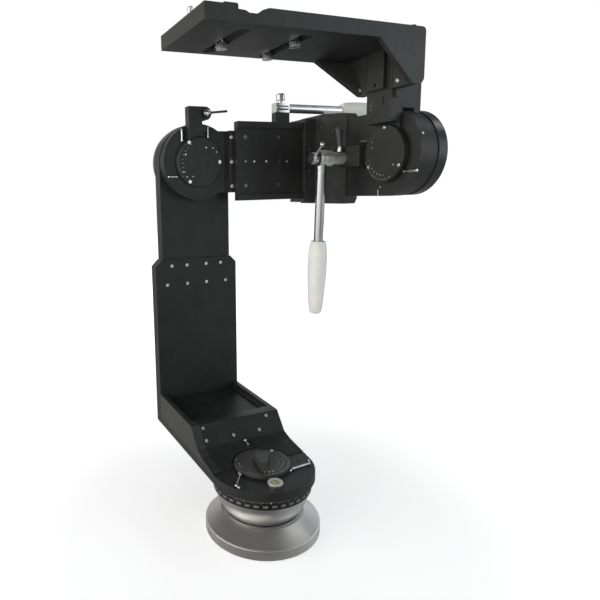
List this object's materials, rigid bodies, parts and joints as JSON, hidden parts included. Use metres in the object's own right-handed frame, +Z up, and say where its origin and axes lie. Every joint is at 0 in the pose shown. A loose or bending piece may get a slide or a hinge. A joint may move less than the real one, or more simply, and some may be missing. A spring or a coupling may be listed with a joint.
{
  "type": "three-axis fluid video head",
  "caption": "Fluid video head: levelling ball base, L-shaped arm, pan, roll and tilt drag modules, slotted camera platform and chrome pan bars with white grips.",
  "frame": {"origin": "centre of the round opening in the underside of the base flange, on the pan axis", "axes": "+Z up along the pan axis, +X to the right in the picture along the tilt axis, +Y away from the viewer along the roll axis"},
  "size_m": [0.5387, 0.394, 0.758],
  "materials": {
    "black_anodised": "black anodised, fine matt",
    "silver_machined": "turned, satin",
    "scale_black": "black anodised with white graduations",
    "bearing_steel": "ground",
    "rotor_alloy": "turned",
    "drum_black": "black anodised, turned",
    "disc_black": "black anodised with white marks",
    "dark_steel": "black oxide",
    "zinc_screw": "zinc plated",
    "vial_green": "clear level fluid",
    "bright_chrome": "polished",
    "satin_steel": "satin, turned",
    "grey_lever": "moulded",
    "white_grip": "white sleeve"
  },
  "bodies": {
    "base": {"base_flange": "silver_machined"},
    "seat": {"level_ring": "silver_machined"},
    "ball": {"levelling_ball": "silver_machined", "pan_scale_ring": "scale_black", "pan_drag_lid": "rotor_alloy", "pan_bearings": "bearing_steel"},
    "pan": {"pan_shaft": "bearing_steel", "pan_drag_rotor": "rotor_alloy", "pan_housing": "black_anodised", "left_cheek": "black_anodised", "right_cheek": "black_anodised", "leg_cover": "black_anodised", "pan_screws": "zinc_screw", "level_cup": "silver_machined", "level_vial": "vial_green", "pan_lever_rods": "bright_chrome", "lower_plate": "black_anodised", "upper_plate": "black_anodised", "roll_bearings": "bearing_steel", "roll_drum": "drum_black", "roll_drag_cap": "drum_black"},
    "dial": {"pan_dial": "disc_black"},
    "roll": {"roll_shaft": "bearing_steel", "roll_drag_rotor": "rotor_alloy", "roll_link": "black_anodised", "roll_cover_disc": "disc_black", "roll_bar_bracket": "black_anodised", "roll_lever_rods": "bright_chrome", "box_arm": "black_anodised", "corner_block": "black_anodised", "arm_screws": "zinc_screw", "bar_post": "black_anodised", "tilt_housing": "black_anodised", "tilt_bearings": "bearing_steel", "tilt_drum": "drum_black", "tilt_drag_cap": "drum_black"},
    "bracket_screw": {"bracket_clamp_screw": "dark_steel"},
    "tilt": {"tilt_shaft": "bearing_steel", "tilt_drag_rotor": "rotor_alloy", "arm_rail": "black_anodised", "arm_back_bar": "black_anodised", "tilt_cover_disc": "disc_black", "tilt_bar_bracket": "black_anodised", "bar_spigot": "satin_steel", "tilt_lever_rods": "bright_chrome"},
    "spigot_lever": {"spigot_clamp_lever": "grey_lever"},
    "platform": {"camera_platform": "black_anodised", "rail_cover": "black_anodised", "stop_pin": "bright_chrome"},
    "screw_a": {"camera_screw_a": "bright_chrome"},
    "screw_b": {"camera_screw_b": "bright_chrome"},
    "screw_c": {"camera_screw_c": "bright_chrome"},
    "button": {"release_button": "dark_steel"},
    "bar1": {"bar1_tube": "bright_chrome", "bar1_grip": "white_grip"},
    "bar1_lock": {"bar1_lock_lever": "bright_chrome"},
    "bar2": {"bar2_clamp": "silver_machined", "bar2_tube": "bright_chrome", "bar2_grip": "white_grip"},
    "bar2_lock": {"bar2_knob": "bright_chrome"}
  },
  "joints": [
    {"name": "level_side", "type": "hinge", "parent": "base", "child": "seat", "pos_m": [0, 0, 0.083], "axis": [1, 0, 0], "range_deg": [-8, 8]},
    {"name": "level_fore", "type": "hinge", "parent": "seat", "child": "ball", "pos_m": [0, 0, 0.083], "axis": [0, 1, 0], "range_deg": [-8, 8]},
    {"name": "pan_turn", "type": "hinge", "parent": "ball", "child": "pan", "pos_m": [0, 0, 0.088], "axis": [0, 0, 1], "continuous": true},
    {"name": "pan_dial_turn", "type": "hinge", "parent": "pan", "child": "dial", "pos_m": [0, 0, 0.102], "axis": [0, 0, 1], "range_deg": [-135, 135]},
    {"name": "roll_turn", "type": "hinge", "parent": "pan", "child": "roll", "pos_m": [0, 0.23, 0.579], "axis": [0, 1, 0], "range_deg": [-75, 75]},
    {"name": "bracket_screw_turn", "type": "hinge", "parent": "roll", "child": "bracket_screw", "pos_m": [0.0075, 0.2, 0.6615], "axis": [0, 1, 0], "range_deg": [-60, 60]},
    {"name": "tilt_turn", "type": "hinge", "parent": "roll", "child": "tilt", "pos_m": [0.243, 0, 0.579], "axis": [1, 0, 0], "range_deg": [-35, 30]},
    {"name": "spigot_lever_turn", "type": "hinge", "parent": "tilt", "child": "spigot_lever", "pos_m": [0.203, 0.086, 0.59], "axis": [0, 0, 1], "range_deg": [-60, 60]},
    {"name": "platform_height", "type": "slide", "parent": "tilt", "child": "platform", "axis": [0, 0, 1], "range_m": [-0.01, 0.025]},
    {"name": "screw_a_slide", "type": "slide", "parent": "platform", "child": "screw_a", "axis": [0, 1, 0], "range_m": [-0.058, 0.034]},
    {"name": "screw_b_slide", "type": "slide", "parent": "platform", "child": "screw_b", "axis": [0, 1, 0], "range_m": [-0.03, 0]},
    {"name": "screw_c_slide", "type": "slide", "parent": "platform", "child": "screw_c", "axis": [0, 1, 0], "range_m": [-0.02, 0.02]},
    {"name": "button_press", "type": "slide", "parent": "platform", "child": "button", "axis": [0, 0, -1], "range_m": [0, 0.002], "stiffness_N_per_m": 600},
    {"name": "bar1_swing", "type": "hinge", "parent": "tilt", "child": "bar1", "pos_m": [0.1667, 0.086, 0.577], "axis": [-1, 0, 0], "range_deg": [-40, 40]},
    {"name": "bar1_lock_turn", "type": "hinge", "parent": "bar1", "child": "bar1_lock", "pos_m": [0.15, 0.086, 0.577], "axis": [1, 0, 0], "range_deg": [-60, 60]},
    {"name": "bar2_swing", "type": "hinge", "parent": "roll", "child": "bar2", "pos_m": [0.1585, 0.204, 0.666], "axis": [0, 0, -1], "range_deg": [-60, 40]},
    {"name": "bar2_knob_turn", "type": "hinge", "parent": "bar2", "child": "bar2_lock", "pos_m": [0.1585, 0.204, 0.683], "axis": [0, 0, 1], "range_deg": [-150, 150]}
  ]
}
